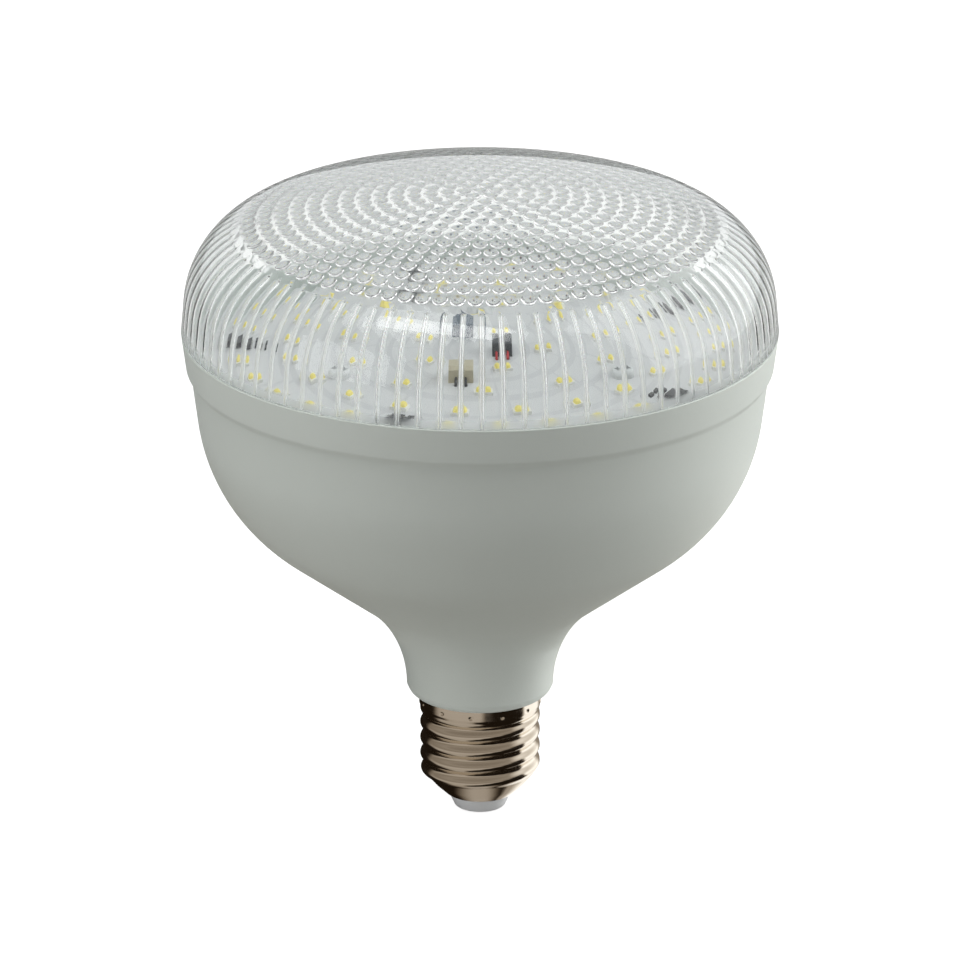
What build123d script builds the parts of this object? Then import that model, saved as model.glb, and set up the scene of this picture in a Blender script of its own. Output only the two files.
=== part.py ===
from build123d import *
import math
import os

# High-wattage LED bulb, cap down and lens up. Millimetres, Z along the bulb's axis,
# origin on the axis at the tip of the centre contact.

# Screw cap, standard 27 mm Edison size
thread_major_r = 13.1
thread_depth = 0.95
thread_pitch = 3.629
thread_start_angle = -123.0
groove_root_width = 0.9
groove_mouth_width = 2.4
groove_margin = 0.3
shell_wall = 0.35
band_step = 0.2
band_length = 2.6
thread_zone_length = 15.6
taper_length = 5.5
shell_mouth_r = 7.0
shell_lip_width = 0.6
insulator_drop = 2.6
insulator_tip_r = 5.7
insulator_flange_height = 1.8
contact_head_r = 4.2
contact_head_height = 0.9
contact_shank_r = 1.5
contact_shank_length = 8.0
contact_edge_fillet = 0.5
shell_turn_fillet = 2.5
shell_bore_fillet = 1.3
insulator_edge_fillet = 0.8
cap_clearance = 0.1

# Housing: neck, cone, bowl and rim
housing_wall = 2.0
neck_overhang = 2.85
neck_edge_fillet = 1.6
neck_lean = 0.25
neck_height = 14.6
neck_fillet = 19.3
bowl_lean = 3.5
cone_height = 32.1
bowl_fillet = 41.9
bowl_top_r = 61.8
bowl_height = 28.8
rim_step = 1.5
rim_root_fillet = 1.2
rim_edge_fillet = 0.9
rim_flare = 1.0
rim_height = 8.2
rim_wall = 1.5
spigot_wall = 2.0
spigot_length = 15.0

# Heat tray and LED board
tray_plate = 1.8
tray_skirt_depth = 10.0
tray_skirt_wall = 1.2
tray_skirt_gap = 0.6
tray_clearance = 0.2
ledge_drop = 7.9
board_thickness = 1.4
board_edge_gap = 1.4

# Clear lens
lens_height = 31.9
lens_lean = 1.8
lens_corner_height = 20.5
lens_shoulder_r = 20.6
lens_wall = 2.4
lens_skirt_wall = 1.8
lens_clearance = 0.1
lens_foot_height = 0.6
flute_count = 88
flute_phase = 0.4
flute_depth = 0.7
flute_ridge_width = 1.0
flute_end_inset = 11.9
flute_shoulder_steps = 4
bead_ring_count = 14
bead_ring_gain = 6
bead_phase = 7.5
bead_sides = 6
bead_height = 0.9
bead_sink = 0.35
bead_gap = 0.05
bead_margin = 1.35

# LED packages, in rings inwards from the edge of the board
led_width = 2.8
led_length = 3.5
led_height = 0.7
phosphor_margin = 0.25
phosphor_height = 0.5
sector_count = 5
outer_ring_inset = 7.7
outer_ring_slots = 6
outer_ring_phase = 34.5
second_ring_step = 11.0
second_ring_count = 20
second_ring_phase = -6.0
third_ring_step = 12.2
third_ring_count = 10
third_ring_phase = 20.0
inner_ring_step = 14.8
inner_ring_count = 5
inner_ring_phase = 2.0

# Driver chips, their leads and the chip resistors beside them
ic_length = 4.9
ic_width = 3.9
ic_height = 1.5
ic_lead_count = 4
ic_lead_pitch = 1.27
ic_lead_width = 0.42
ic_lead_reach = 1.0
ic_lead_thickness = 0.25
ic_lead_rise = 0.6
resistor_length = 2.0
resistor_width = 1.25
resistor_height = 0.55
resistor_gap = 1.8
resistor_spread = 4.0

# Supply parts near the middle of the board
rectifier_x = -3.7
rectifier_y = 13.5
rectifier_length = 8.4
rectifier_width = 6.4
rectifier_height = 3.6
fuse_x = 4.7
fuse_y = -0.5
fuse_length = 4.2
fuse_width = 7.0
fuse_height = 3.7
terminal_x = -4.1
terminal_y = -19.4
terminal_length = 6.0
terminal_width = 5.0
terminal_height = 3.8
terminal_chamfer = 0.8
moulded_edge = 0.45

# Leads and board screws
wire_r = 0.6
wire_bend_r = 0.9
wire_sweep_r = 12.0
wire_hole_clearance = 0.35
wire_run_height = 0.85
wire_hole_setback = 1.5
wire_gather_drop = 30.0
wire_straight_drop = 9.0
neutral_offset = 7.0
screw_count = 3
screw_phase = 90.0
screw_shank_r = 1.45
screw_head_r = 2.8
screw_head_height = 1.7
screw_head_fillet = 1.0
screw_length = 6.0
screw_hole_clearance = 0.1
screw_cross_width = 0.8
screw_cross_depth = 0.9

# Heights along the axis
insulator_bottom = contact_head_height
shell_bottom = insulator_bottom + insulator_drop
thread_bottom = shell_bottom + taper_length
thread_top = thread_bottom + thread_zone_length
neck_bottom = thread_top + band_length
neck_corner = neck_bottom + neck_height
bowl_corner = neck_corner + cone_height
rim_bottom = bowl_corner + bowl_height
seam = rim_bottom + rim_height
ledge = seam - ledge_drop
board_bottom = ledge + tray_plate
board_top = board_bottom + board_thickness
led_top = board_top + led_height

# Radii that follow from the ones above
band_r = thread_major_r + band_step
collar_r = band_r - shell_wall - cap_clearance
shell_inner_r = thread_major_r - thread_depth - shell_wall
shell_lip_r = shell_mouth_r + shell_lip_width
neck_foot_r = thread_major_r + neck_overhang
neck_top_r = neck_foot_r + neck_lean
bowl_r = bowl_top_r - bowl_lean
rim_foot_r = bowl_top_r + rim_step
rim_r = rim_foot_r + rim_flare
rim_inner_r = rim_r - rim_wall
lens_skirt_r = rim_inner_r - lens_clearance
lens_bore_r = lens_skirt_r - lens_skirt_wall
lens_corner_r = rim_r - lens_lean
flute_end_r = rim_r - flute_end_inset
bead_pitch = (flute_end_r - bead_margin) / (bead_ring_count + 0.5)
bead_r = bead_pitch / 2 - bead_gap
board_r = lens_bore_r - board_edge_gap
tray_r = rim_inner_r - tray_clearance
spigot_r = shell_inner_r - cap_clearance
spigot_bore_r = spigot_r - spigot_wall
outer_ring_r = board_r - outer_ring_inset
second_ring_r = outer_ring_r - second_ring_step
third_ring_r = second_ring_r - third_ring_step
inner_ring_r = third_ring_r - inner_ring_step
resistor_r = outer_ring_r - ic_width / 2 - ic_lead_reach - resistor_gap - resistor_width / 2
screw_circle_r = (second_ring_r + third_ring_r) / 2

axis_z = Axis.Z


def polar(radius, degrees, height=0.0):
    """Point at a radius and an angle from +X, at a height."""
    angle = math.radians(degrees)
    return Vector(radius * math.cos(angle), radius * math.sin(angle), height)


def turned(corners):
    """Solid of revolution of a closed outline of (radius, height, corner fillet)."""
    points = [(r, 0, z) for r, z, _ in corners]
    fillets = [fillet_r for _, _, fillet_r in corners]
    outline = FilletPolyline(*points, radius=fillets, close=True)
    return revolve(make_face(outline), axis_z)


def tube(low, high, outer, inner):
    """Straight ring between two heights."""
    return turned([(inner, low, 0), (outer, low, 0), (outer, high, 0), (inner, high, 0)])


def rod(low, high, radius, centre=(0, 0)):
    """Upright cylinder between two heights."""
    disc = Plane.XY.offset(low) * Pos(*centre) * Circle(radius)
    return extrude(disc, high - low)


def block(length, width, height, foot):
    """Upright block that stands at a height, centred on the Z axis."""
    return Pos(0, 0, foot) * Box(length, width, height, align=(Align.CENTER, Align.CENTER, Align.MIN))


def on_ring(shape, radius, degrees):
    """Copy of a shape carried out along +X and turned about the axis."""
    return Rot(0, 0, degrees) * Pos(radius, 0, 0) * shape


def inset(points, wall):
    """Outline moved to its left by a wall, with its corners where the moved sides cross."""
    sides = list(zip(points, points[1:]))
    moved = []
    for start, end in sides:
        along = Vector(end[0] - start[0], end[1] - start[1]).normalized()
        shift = Vector(-along.Y, along.X) * wall
        moved.append((Vector(*start) + shift, along))
    corners = [moved[0][0]]
    for (p, d), (q, e) in zip(moved, moved[1:]):
        step = ((q.X - p.X) * e.Y - (q.Y - p.Y) * e.X) / (d.X * e.Y - d.Y * e.X)
        corners.append(p + d * step)
    last_start, last_end = sides[-1]
    corners.append(moved[-1][0] + Vector(last_end[0] - last_start[0], last_end[1] - last_start[1]))
    return [(c.X, c.Y) for c in corners]


def led_places():
    """(ring radius, angle) of every LED: full rings, and an outer ring that skips the chip slots."""
    rings = [
        (second_ring_r, second_ring_count, second_ring_phase),
        (third_ring_r, third_ring_count, third_ring_phase),
        (inner_ring_r, inner_ring_count, inner_ring_phase),
    ]
    places = [(r, phase + 360 * i / n) for r, n, phase in rings for i in range(n)]
    slots = sector_count * outer_ring_slots
    for slot in range(slots):
        if slot % outer_ring_slots:
            places.append((outer_ring_r, outer_ring_phase + 360 * slot / slots))
    return places


def chip_angles():
    """Angle of the driver chip in each sector of the board."""
    return [outer_ring_phase + 360 * k / sector_count for k in range(sector_count)]


def screw_places():
    """Centre of each board screw."""
    return [polar(screw_circle_r, screw_phase + 360 * k / screw_count) for k in range(screw_count)]


# Where each lead comes up through the board, and the face that it ends on
live_hole = (fuse_x, fuse_y - fuse_width / 2 - wire_hole_setback)
live_end = fuse_y - fuse_width / 2
neutral_hole = (terminal_x, terminal_y - terminal_width / 2 - wire_hole_setback)
neutral_end = terminal_y - terminal_width / 2
wire_hole_r = wire_r + wire_hole_clearance


def drilled(plate, low, high):
    """Plate with the lead holes and the screw holes through it."""
    holes = [rod(low, high, wire_hole_r, c) for c in (live_hole, neutral_hole)]
    hole_r = screw_shank_r + screw_hole_clearance
    holes += [rod(low, high, hole_r, (c.X, c.Y)) for c in screw_places()]
    return plate - holes


def housing():
    """Moulded bowl: a fillet-blended wall of even thickness, a ledge in the rim, a hollow spigot."""
    neck_foot = (neck_foot_r, neck_bottom)
    neck_turn = (neck_top_r, neck_corner)
    bowl_turn = (bowl_r, bowl_corner)
    bowl_top = (bowl_top_r, rim_bottom)
    inner = inset([neck_foot, neck_turn, bowl_turn, bowl_top], housing_wall)
    floor = neck_bottom + housing_wall
    spigot_bottom = neck_bottom - spigot_length
    return turned([
        (collar_r, neck_bottom, 0),
        (*neck_foot, neck_edge_fillet),
        (*neck_turn, neck_fillet),
        (*bowl_turn, bowl_fillet),
        (*bowl_top, rim_root_fillet),
        (rim_foot_r, rim_bottom, rim_edge_fillet),
        (rim_r, seam, 0),
        (rim_inner_r, seam, 0),
        (rim_inner_r, ledge, 0),
        (inner[-1][0], ledge, 0),
        (*inner[2], bowl_fillet - housing_wall),
        (*inner[1], neck_fillet + housing_wall),
        (inner[0][0], floor, 0),
        (spigot_bore_r, floor, 0),
        (spigot_bore_r, spigot_bottom, 0),
        (spigot_r, spigot_bottom, 0),
        (spigot_r, thread_top, 0),
        (collar_r, thread_top, 0),
    ])


def heat_tray():
    """Aluminium plate that lies on the rim's ledge, with a skirt down into the bowl."""
    skirt_r = skirt_room_r() - tray_skirt_gap
    skirt_bottom = ledge - tray_skirt_depth
    plate = rod(ledge, board_bottom, tray_r)
    skirt = tube(skirt_bottom, ledge, skirt_r, skirt_r - tray_skirt_wall)
    return drilled(plate + skirt, skirt_bottom, board_bottom)


def skirt_room_r():
    """Radius of the bowl's inside at the foot of the tray's skirt, on the side of the bowl wall."""
    lean = (bowl_top_r - bowl_r) / bowl_height
    return bowl_top_r - housing_wall - lean * (rim_bottom - ledge + tray_skirt_depth)


def led_board():
    """White metal-core disc that lies on the tray."""
    return drilled(rod(board_bottom, board_top, board_r), board_bottom, board_top)


def lens_curve():
    """Centre of the shoulder arc, centre height and radius of the dome arc, and the wall's direction."""
    corner = Vector(lens_corner_r, seam + lens_corner_height)
    foot = Vector(rim_r, seam)
    sag = lens_height - lens_corner_height
    dome_r = (lens_corner_r ** 2 + sag ** 2) / (2 * sag)
    dome_centre = Vector(0, seam + lens_height - dome_r)
    along = (corner - foot).normalized()
    inward = Vector(-along.Y, along.X)
    base = foot + inward * lens_shoulder_r
    gap = base - dome_centre
    run = gap.dot(along)
    step = -run + math.sqrt(run ** 2 - gap.dot(gap) + (dome_r - lens_shoulder_r) ** 2)
    return base + along * step, dome_centre, dome_r, inward


shoulder, dome_centre, dome_r, wall_inward = lens_curve()


def lens_meridian(depth):
    """Wall end, shoulder middle, dome start and pole of the lens outline moved inwards by a depth."""
    radius = lens_shoulder_r - depth
    outward = wall_inward * -1
    to_dome = (shoulder - dome_centre).normalized()
    wall_end = shoulder + outward * radius
    middle = shoulder + (outward + to_dome).normalized() * radius
    dome_start = shoulder + to_dome * radius
    pole = Vector(0, dome_centre.Y + dome_r - depth)
    return wall_end, middle, dome_start, pole


def upright(point):
    """Outline point (radius, height) as a point of the XZ plane."""
    return (point.X, 0, point.Y)


def dome_edge(start, pole, depth):
    """Arc of the dome, moved inwards by a depth, from its start to the pole."""
    half_angle = (start - dome_centre).get_angle(Vector(0, 1)) / 2
    middle = dome_centre + Vector(0, dome_r - depth).rotate(Axis.Z, -half_angle)
    return ThreePointArc(upright(start), upright(middle), upright(pole))


def lens_blank():
    """Outside of the lens, filled, with the skirt that goes into the rim."""
    wall_end, middle, dome_start, pole = lens_meridian(0)
    skirt_bottom = board_bottom + lens_clearance
    foot = Polyline(
        (0, 0, skirt_bottom),
        (lens_skirt_r, 0, skirt_bottom),
        (lens_skirt_r, 0, seam),
        (rim_r, 0, seam),
        upright(wall_end),
    )
    arc = ThreePointArc(upright(wall_end), upright(middle), upright(dome_start))
    dome = dome_edge(dome_start, pole, 0)
    close = Line(upright(pole), (0, 0, skirt_bottom))
    return revolve(make_face([*foot.edges(), arc, dome, close]), axis_z)


def wall_radius(height, depth):
    """Radius of the lens wall or shoulder, moved inwards by a depth, at a height."""
    wall_end = lens_meridian(depth)[0]
    if height <= wall_end.Y:
        along_r = (lens_corner_r - rim_r) / lens_corner_height
        return wall_end.X + (height - wall_end.Y) * along_r
    rise = height - shoulder.Y
    return shoulder.X + math.sqrt((lens_shoulder_r - depth) ** 2 - rise ** 2)


def flute_ring(height):
    """Closed outline of the flutes at a height: a thin ridge, then a flat floor, all the way round."""
    ridge_r = wall_radius(height, lens_wall)
    floor_r = wall_radius(height, lens_wall - flute_depth)
    half_ridge = math.degrees(flute_ridge_width / 2 / floor_r)
    points = []
    for i in range(flute_count):
        angle = flute_phase + 360 * i / flute_count
        points.append(polar(floor_r, angle - half_ridge, height))
        points.append(polar(ridge_r, angle, height))
        points.append(polar(floor_r, angle + half_ridge, height))
    return Wire.make_polygon(points, close=True)


def flute_top():
    """Height where the flutes end on the shoulder."""
    reach = flute_end_r - shoulder.X
    return shoulder.Y + math.sqrt((lens_shoulder_r - lens_wall) ** 2 - reach ** 2)


def flute_void():
    """Space inside the fluted wall, ruled between outlines up the wall and round the shoulder."""
    wall_top = lens_meridian(lens_wall)[0]
    start = math.asin((wall_top.Y - shoulder.Y) / (lens_shoulder_r - lens_wall))
    end = math.asin((flute_top() - shoulder.Y) / (lens_shoulder_r - lens_wall))
    heights = [seam + lens_foot_height]
    for i in range(flute_shoulder_steps + 1):
        angle = start + (end - start) * i / flute_shoulder_steps
        heights.append(shoulder.Y + (lens_shoulder_r - lens_wall) * math.sin(angle))
    return Solid.make_loft([flute_ring(h) for h in heights], ruled=True)


def dome_void():
    """Space inside the dome, above the flutes."""
    _, _, dome_start, pole = lens_meridian(lens_wall)
    low = Vector(flute_end_r, flute_top())
    out = ((low - shoulder).normalized() + (dome_start - shoulder).normalized()).normalized()
    middle = shoulder + out * (lens_shoulder_r - lens_wall)
    base = Polyline((0, 0, low.Y), upright(low))
    arc = ThreePointArc(upright(low), upright(middle), upright(dome_start))
    dome = dome_edge(dome_start, pole, lens_wall)
    close = Line(upright(pole), (0, 0, low.Y))
    return revolve(make_face([*base.edges(), arc, dome, close]), axis_z)


def bead():
    """One bead: a low many-sided point that hangs down, with its base sunk in the dome."""
    corners = [polar(bead_r, 360 * i / bead_sides, bead_sink) for i in range(bead_sides)]
    point = Vector(0, 0, -bead_height)
    rim = list(zip(corners, corners[1:] + corners[:1]))
    base = Face(Wire.make_polygon(corners, close=True))
    sides = [Face(Wire.make_polygon([a, b, point], close=True)) for a, b in rim]
    return Solid(Shell([base, *sides]))


def dome_place(radius):
    """Height and tilt of the inside of the dome, or of the shoulder round it, at a radius."""
    dome_start = lens_meridian(lens_wall)[2]
    centre, arc_r = dome_centre, dome_r - lens_wall
    if radius > dome_start.X:
        centre, arc_r = shoulder, lens_shoulder_r - lens_wall
    rise = math.sqrt(arc_r ** 2 - (radius - centre.X) ** 2)
    return centre.Y + rise, math.degrees(math.atan2(radius - centre.X, rise))


def lens_beads():
    """Rings of beads all over the dome: each ring holds a fixed number more than the ring within it."""
    one = bead()
    beads = [Pos(0, 0, dome_place(0)[0]) * one]
    for ring in range(1, bead_ring_count + 1):
        radius = ring * bead_pitch
        height, tilt = dome_place(radius)
        placed = Pos(radius, 0, height) * Rot(0, tilt, 0) * one
        count = ring * bead_ring_gain
        beads += [Rot(0, 0, bead_phase + 360 * i / count) * placed for i in range(count)]
    return beads


def lens_cover():
    """Clear cover: the filled outside less its bore, its fluted wall and its beaded dome."""
    bore = rod(board_bottom, seam + lens_foot_height, lens_bore_r)
    beaded_dome = dome_void() - lens_beads()
    return lens_blank() - bore - flute_void() - beaded_dome


def thread_groove():
    """Groove of the right-hand thread, swept along a helix from above the lower turn to the band."""
    turn = math.atan2(thread_major_r - shell_lip_r, taper_length)
    turn_top = thread_bottom + shell_turn_fillet * math.tan(turn / 2)
    start = turn_top + groove_mouth_width / 2 + groove_margin
    run = thread_top - groove_mouth_width / 2 - start
    root_r = thread_major_r - thread_depth
    over_r = thread_major_r + thread_depth
    spread = (groove_mouth_width - groove_root_width) / thread_depth
    over_width = groove_root_width + spread * (over_r - root_r)
    outline = Polyline(
        (root_r, 0, start - groove_root_width / 2),
        (over_r, 0, start - over_width / 2),
        (over_r, 0, start + over_width / 2),
        (root_r, 0, start + groove_root_width / 2),
        close=True,
    )
    path = Helix(thread_pitch, run, root_r, center=(0, 0, start))
    return Rot(0, 0, thread_start_angle) * sweep(make_face(outline), path=path, is_frenet=True)


def screw_shell():
    """Plated screw shell: plain band, thread, and a lower end turned in to a flat lip."""
    blank = turned([
        (shell_mouth_r, shell_bottom, 0),
        (shell_lip_r, shell_bottom, 0),
        (thread_major_r, thread_bottom, shell_turn_fillet),
        (thread_major_r, thread_top, 0),
        (band_r, thread_top, 0),
        (band_r, neck_bottom, 0),
        (band_r - shell_wall, neck_bottom, 0),
        (band_r - shell_wall, thread_top, 0),
        (shell_inner_r, thread_top, 0),
        (shell_inner_r, thread_bottom, shell_bore_fillet),
        (shell_lip_r - shell_wall, shell_bottom + shell_wall, 0),
        (shell_mouth_r, shell_bottom + shell_wall, 0),
    ])
    return blank - thread_groove()


def cap_insulator():
    """Grey cone held in the shell's mouth by a flange that lies on the lip."""
    seat = shell_bottom + shell_wall
    throat_r = shell_mouth_r - cap_clearance
    flange_r = shell_lip_r - shell_wall - cap_clearance
    bore_r = contact_shank_r + cap_clearance
    flange_top = seat + insulator_flange_height
    return turned([
        (bore_r, insulator_bottom, 0),
        (insulator_tip_r, insulator_bottom, insulator_edge_fillet),
        (throat_r, shell_bottom, 0),
        (throat_r, seat, 0),
        (flange_r, seat, 0),
        (flange_r, flange_top, 0),
        (bore_r, flange_top, 0),
    ])


def centre_contact():
    """Contact rivet: a low domed head under the insulator and a shank up through it."""
    shank_top = insulator_bottom + contact_shank_length
    return turned([
        (0, 0, 0),
        (contact_head_r, 0, contact_edge_fillet),
        (contact_head_r, insulator_bottom, 0),
        (contact_shank_r, insulator_bottom, 0),
        (contact_shank_r, shank_top, 0),
        (0, shank_top, 0),
    ])


def lead(points, bends):
    """Round lead along straight runs joined by tangent arcs."""
    path = FilletPolyline(*points, radius=bends)
    section = Plane(path @ 0, z_dir=path % 0) * Circle(wire_r)
    return sweep(section, path=path)


def live_wire():
    """Lead from the contact rivet up the axis, through the board, and into the fuse."""
    run_z = board_top + wire_run_height
    points = [
        (0, 0, insulator_bottom + contact_shank_length),
        (0, 0, ledge - wire_gather_drop),
        (*live_hole, ledge - wire_straight_drop),
        (*live_hole, run_z),
        (live_hole[0], live_end, run_z),
    ]
    return lead(points, [wire_sweep_r, wire_sweep_r, wire_bend_r])


def neutral_wire():
    """Lead from the inside of the screw shell, up through the spigot and the board, to the terminal."""
    run_z = board_top + wire_run_height
    tail_z = neck_bottom - spigot_length - wire_bend_r
    points = [
        (-shell_inner_r + cap_clearance, 0, tail_z),
        (-neutral_offset, 0, tail_z),
        (-neutral_offset, 0, ledge - wire_gather_drop),
        (*neutral_hole, ledge - wire_straight_drop),
        (*neutral_hole, run_z),
        (neutral_hole[0], neutral_end, run_z),
    ]
    return lead(points, [wire_bend_r, wire_sweep_r, wire_sweep_r, wire_bend_r])


def led_packages():
    """White packages, long side along the ring."""
    package = block(led_width, led_length, led_height, board_top)
    return [on_ring(package, r, a) for r, a in led_places()]


def led_phosphors():
    """Yellow faces that lie on the packages."""
    margin = 2 * phosphor_margin
    face = block(led_width - margin, led_length - margin, phosphor_height, led_top)
    return [on_ring(face, r, a) for r, a in led_places()]


def driver_ics():
    """Moulded chip bodies, one in each sector, clear of the board by the rise of their leads."""
    body = block(ic_width, ic_length, ic_height - ic_lead_thickness, board_top + ic_lead_thickness)
    return [on_ring(body, outer_ring_r, a) for a in chip_angles()]


def ic_leads():
    """Gull-wing leads down both sides of each chip, bent from the body to the board."""
    inner = ic_width / 2
    outer = inner + ic_lead_reach
    bend = inner + (ic_lead_reach - ic_lead_thickness) / 2
    rise = board_top + ic_lead_rise
    outline = Polyline(
        (inner, 0, rise),
        (bend, 0, rise),
        (bend, 0, board_top),
        (outer, 0, board_top),
        (outer, 0, board_top + ic_lead_thickness),
        (bend + ic_lead_thickness, 0, board_top + ic_lead_thickness),
        (bend + ic_lead_thickness, 0, rise + ic_lead_thickness),
        (inner, 0, rise + ic_lead_thickness),
        close=True,
    )
    one = extrude(make_face(outline), ic_lead_width / 2, dir=(0, 1, 0), both=True)
    row = [Pos(0, (i - (ic_lead_count - 1) / 2) * ic_lead_pitch, 0) * one for i in range(ic_lead_count)]
    sides = [Rot(0, 0, turn) * shape for turn in (0, 180) for shape in row]
    return [on_ring(shape, outer_ring_r, a) for a in chip_angles() for shape in sides]


def sense_resistors():
    """Chip resistors in pairs, inboard of each driver chip."""
    chip = block(resistor_width, resistor_length, resistor_height, board_top)
    half = resistor_spread / 2
    return [on_ring(chip, resistor_r, a + turn) for a in chip_angles() for turn in (-half, half)]


def bridge_rectifier():
    """Moulded rectifier block with its top edges broken."""
    body = block(rectifier_length, rectifier_width, rectifier_height, board_top)
    body = chamfer(body.edges().group_by(axis_z)[-1], moulded_edge)
    return Pos(rectifier_x, rectifier_y, 0) * body


def fuse_block():
    """Dark moulded fuse that the live lead ends on."""
    body = block(fuse_length, fuse_width, fuse_height, board_top)
    body = chamfer(body.edges().group_by(axis_z)[-1], moulded_edge)
    return Pos(fuse_x, fuse_y, 0) * body


def wire_terminal():
    """Beige terminal block with a sloped front, where the neutral lead ends."""
    body = block(terminal_length, terminal_width, terminal_height, board_top)
    front_top = body.edges().group_by(axis_z)[-1].sort_by(Axis.Y)[0]
    return Pos(terminal_x, terminal_y, 0) * chamfer(front_top, terminal_chamfer)


def board_screws():
    """Pan-head screws with a crossed recess, through the board and the tray."""
    head_top = board_top + screw_head_height
    head = turned([
        (0, board_top, 0),
        (screw_head_r, board_top, 0),
        (screw_head_r, head_top, screw_head_fillet),
        (0, head_top, 0),
    ])
    arm = 2 * screw_shank_r
    cross = block(arm, screw_cross_width, screw_cross_depth, head_top - screw_cross_depth)
    cross += block(screw_cross_width, arm, screw_cross_depth, head_top - screw_cross_depth)
    screw = head - cross + rod(board_top - screw_length, board_top, screw_shank_r)
    return [Pos(c.X, c.Y, 0) * screw for c in screw_places()]


pieces = {
    "housing": housing(),
    "heat_tray": heat_tray(),
    "led_board": led_board(),
    "led_packages": led_packages(),
    "led_phosphors": led_phosphors(),
    "driver_ics": driver_ics(),
    "ic_leads": ic_leads(),
    "sense_resistors": sense_resistors(),
    "bridge_rectifier": bridge_rectifier(),
    "fuse_block": fuse_block(),
    "wire_terminal": wire_terminal(),
    "live_wire": live_wire(),
    "neutral_wire": neutral_wire(),
    "board_screws": board_screws(),
    "lens_cover": lens_cover(),
    "screw_shell": screw_shell(),
    "cap_insulator": cap_insulator(),
    "centre_contact": centre_contact(),
}

os.makedirs("parts", exist_ok=True)
for name, shape in pieces.items():
    solids = shape if isinstance(shape, list) else [shape]
    if len(solids) == 1:
        export_step(solids[0], f"parts/{name}.step")
    else:
        export_step(Compound(children=solids), f"parts/{name}.step")
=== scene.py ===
# %% [markdown]
# A wide LED bulb: a white moulded bowl on a screw cap, under a clear lens that is fluted round its
# wall and beaded over its dome. model.glb holds every piece at its real size and place.
# This lesson loads those pieces as a fixed frame, makes the pieces whose looks need a finer surface
# than the solids have, gives each piece its finish, and lights it as a studio would.

# %% Load the frame
import math

import bmesh
import bpy
import numpy as np
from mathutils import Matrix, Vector


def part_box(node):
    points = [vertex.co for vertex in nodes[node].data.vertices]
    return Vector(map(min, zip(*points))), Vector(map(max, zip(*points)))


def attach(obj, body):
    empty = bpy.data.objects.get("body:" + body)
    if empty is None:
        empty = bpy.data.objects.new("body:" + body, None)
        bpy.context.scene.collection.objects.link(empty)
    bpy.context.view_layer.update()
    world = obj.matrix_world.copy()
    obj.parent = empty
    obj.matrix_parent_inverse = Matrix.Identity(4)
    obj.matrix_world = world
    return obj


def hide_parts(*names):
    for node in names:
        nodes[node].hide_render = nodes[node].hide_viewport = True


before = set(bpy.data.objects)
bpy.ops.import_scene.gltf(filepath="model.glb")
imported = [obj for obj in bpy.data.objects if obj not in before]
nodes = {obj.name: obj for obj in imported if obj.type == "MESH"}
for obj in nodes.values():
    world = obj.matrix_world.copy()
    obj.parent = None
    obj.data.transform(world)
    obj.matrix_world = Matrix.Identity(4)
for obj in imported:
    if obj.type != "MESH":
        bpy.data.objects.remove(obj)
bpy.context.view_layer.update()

# %% [markdown]
# Sizes come from the frame where it has them. The rest of this script works in millimetres, as the
# CAD does, and each piece is scaled to metres when its mesh is made.

# %% Measure the frame
mm = 0.001


def reach(node):
    """Lowest and highest height and the outer radius of a round CAD node, in millimetres."""
    low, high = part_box(node)
    return low.z / mm, high.z / mm, high.x / mm


_, seam, rim_r = reach("housing")
_, lens_top, _ = reach("lens_cover")
_, neck_bottom, band_r = reach("screw_shell")
insulator_bottom = reach("cap_insulator")[0]
board_bottom, board_top, _ = reach("led_board")
print("seam at", round(seam, 2), "rim radius", round(rim_r, 2), "lens top", round(lens_top, 2))

# %% [markdown]
# Every new piece is a grid of points worked out as whole arrays. A grid of rows and columns gives
# its own faces by index arithmetic, so the mesh needs no loop over its points. Rings that have
# different numbers of points are joined by a zip: going round by angle, each step on either ring
# makes one triangle with the point that the other ring has reached.

# %% Mesh helpers
turn = 2 * math.pi


def round_angles(count):
    """Equal angles once round the axis, from zero."""
    return np.arange(count) * turn / count


def grid_faces(rows, columns, first=0):
    """Quads of a grid closed round its columns: (i, j), (i, j+1), (i+1, j+1) and (i+1, j)."""
    i = np.arange(rows - 1)[:, None] * columns + first
    j = np.arange(columns)[None, :]
    k = (j + 1) % columns
    return np.stack([i + j, i + k, i + columns + k, i + columns + j], axis=-1).reshape(-1, 4)


def fan_faces(ring, pole):
    """Triangles from each side of a closed ring of indices to one pole."""
    return np.stack([ring, np.roll(ring, -1), np.full(len(ring), pole)], axis=-1)


def zip_faces(ring_a, angle_a, ring_b, angle_b):
    """Triangles between two closed rings, each given as indices in order of rising angle.

    All the angles are sorted together. A step along one ring makes a triangle with the last point
    that was passed on the other.
    """
    count_a, count_b = len(ring_a), len(ring_b)
    on_a = np.searchsorted(angle_b, angle_a, side="right") - 1
    on_b = np.searchsorted(angle_a, angle_b, side="left") - 1
    step_a = np.stack([ring_a[np.arange(count_a) - 1], ring_a, ring_b[on_a % count_b]], axis=-1)
    step_b = np.stack([ring_b, ring_b[np.arange(count_b) - 1], ring_a[on_b % count_a]], axis=-1)
    return np.concatenate([step_a, step_b])


def turned_points(profile, angles):
    """Points of revolution: (r cos t, r sin t, z) for every profile row (r, z) and every angle t."""
    r, z = profile[:, :1], profile[:, 1:]
    return np.stack(np.broadcast_arrays(r * np.cos(angles), r * np.sin(angles), z), axis=-1)


def add_to_scene(name, data):
    """Object at the origin that carries a mesh, a light or a camera."""
    thing = bpy.data.objects.new(name, data)
    bpy.context.scene.collection.objects.link(thing)
    return thing


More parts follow.
